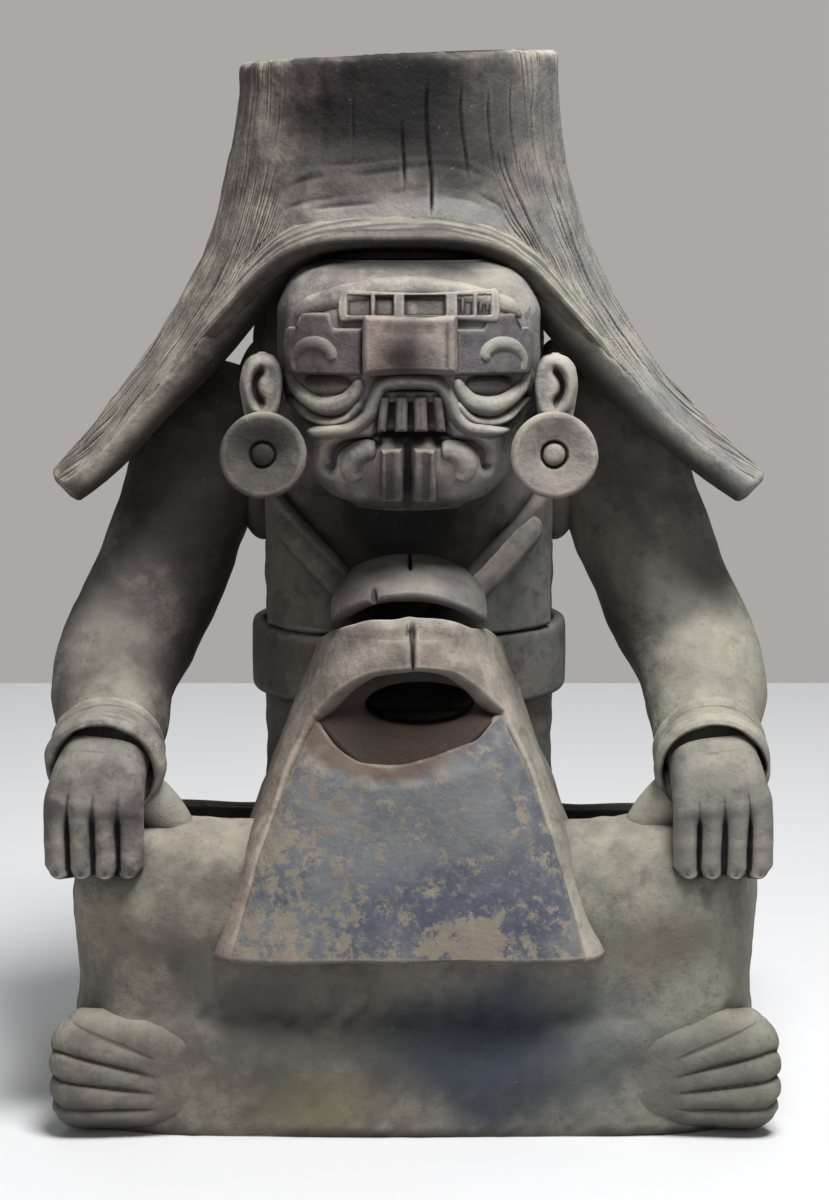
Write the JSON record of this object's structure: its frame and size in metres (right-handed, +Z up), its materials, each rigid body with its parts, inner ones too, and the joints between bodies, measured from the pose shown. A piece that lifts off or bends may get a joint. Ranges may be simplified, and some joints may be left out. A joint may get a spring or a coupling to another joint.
{
  "type": "effigy urn",
  "caption": "Fired-clay urn: a masked figure sits cross-legged before a tall cylindrical vessel, in ear spools, hooded apron and flaring headdress.",
  "frame": {"origin": "on the vessel's axis, at the underside of the floor slab", "axes": "+Z up along the vessel; the figure faces -Y; +X is the viewer's right from the front"},
  "size_m": [0.3458, 0.23, 0.498],
  "materials": {
    "buff_clay": "dusty matt fired clay with fire clouds",
    "grey_clay": "matt smoke-grey fired clay, rubbed on its edges",
    "sooty_clay": "smoked clay combed into straw-like lines",
    "slate_slip": "blue-grey slip flaking to beige clay",
    "pale_clay": "pale rubbed clay"
  },
  "bodies": {
    "root": {"crossed_legs": "grey_clay", "seat_back_wall": "grey_clay", "floor_slab": "grey_clay", "right_foot": "grey_clay", "left_foot": "grey_clay", "vessel_tube": "grey_clay", "vessel_floor": "grey_clay", "tunic_front": "grey_clay", "right_collar_band": "grey_clay", "left_collar_band": "grey_clay", "waist_sash": "grey_clay", "apron_panel": "slate_slip", "hood_arch": "buff_clay", "hood_lining": "buff_clay", "knot_cap": "grey_clay", "right_arm": "buff_clay", "left_arm": "buff_clay", "right_cuff": "pale_clay", "left_cuff": "pale_clay", "right_hand": "buff_clay", "left_hand": "buff_clay", "head": "buff_clay", "forehead_band": "pale_clay", "glyph_row": "pale_clay", "snout": "grey_clay", "right_brow_plate": "grey_clay", "left_brow_plate": "grey_clay", "right_brow_curl": "buff_clay", "left_brow_curl": "buff_clay", "right_eyeball": "grey_clay", "left_eyeball": "grey_clay", "right_lower_eyelid": "buff_clay", "left_lower_eyelid": "buff_clay", "upper_lip": "buff_clay", "upper_teeth": "grey_clay", "left_tongue_fork": "grey_clay", "right_tongue_fork": "grey_clay", "right_mouth_curl": "buff_clay", "left_mouth_curl": "buff_clay", "right_ear": "buff_clay", "left_ear": "buff_clay", "left_ear_spool": "pale_clay", "left_spool_boss": "pale_clay", "right_ear_spool": "pale_clay", "right_spool_boss": "pale_clay", "headdress_bell": "sooty_clay", "headdress_hem": "buff_clay"}
  },
  "joints": []
}
